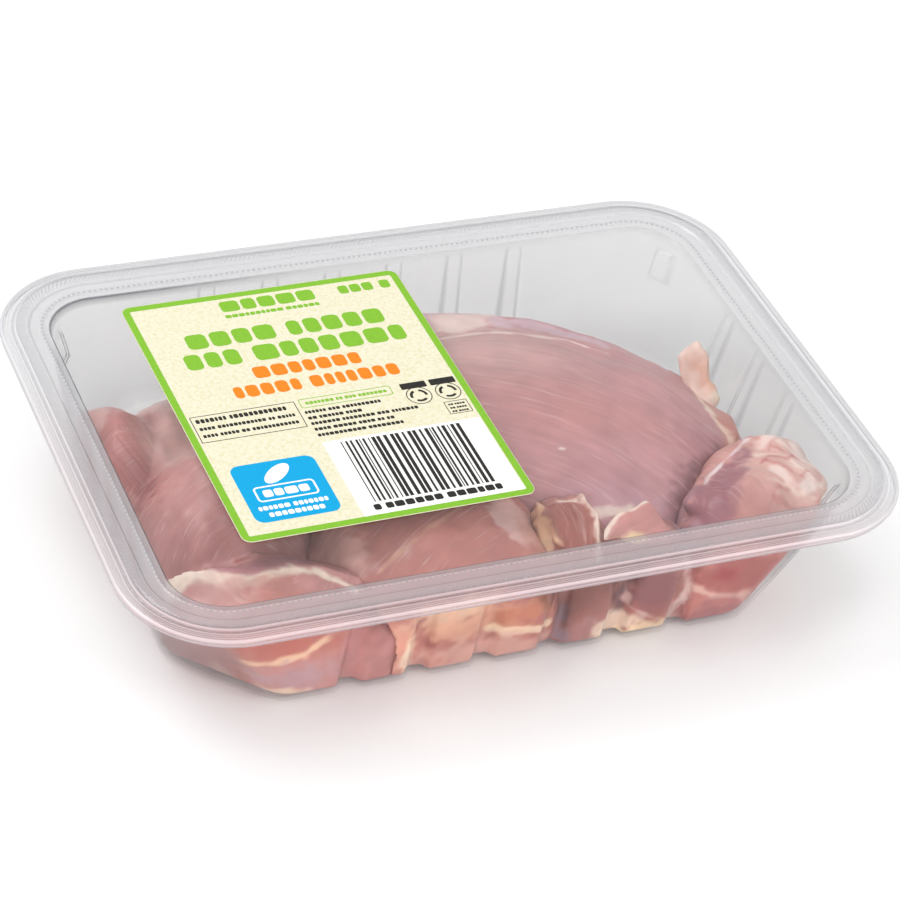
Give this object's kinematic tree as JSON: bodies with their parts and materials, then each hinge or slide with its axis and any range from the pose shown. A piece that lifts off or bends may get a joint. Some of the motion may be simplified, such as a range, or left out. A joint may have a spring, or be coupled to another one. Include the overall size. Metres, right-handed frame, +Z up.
{
  "type": "tray pack of raw chicken thigh fillets",
  "caption": "Clear fluted plastic tray sealed with film and a paper label, holding raw boneless chicken thigh fillets.",
  "frame": {"origin": "middle of the tray's underside, on the surface that the pack rests on", "axes": "+X along the long side, -Y towards the front, +Z up"},
  "size_m": [0.206, 0.146, 0.0399],
  "materials": {
    "tray_plastic": "clear thermoformed plastic, glossy",
    "lidding_film": "clear glossy film",
    "label_paper": "speckled cream paper with green edge",
    "raw_meat": "moist raw poultry, satin gloss"
  },
  "bodies": {
    "root": {"tray": "tray_plastic", "film": "lidding_film", "label": "label_paper", "thigh_corner": "raw_meat", "thigh_right": "raw_meat", "thigh_left": "raw_meat", "thigh_middle": "raw_meat"}
  },
  "joints": []
}
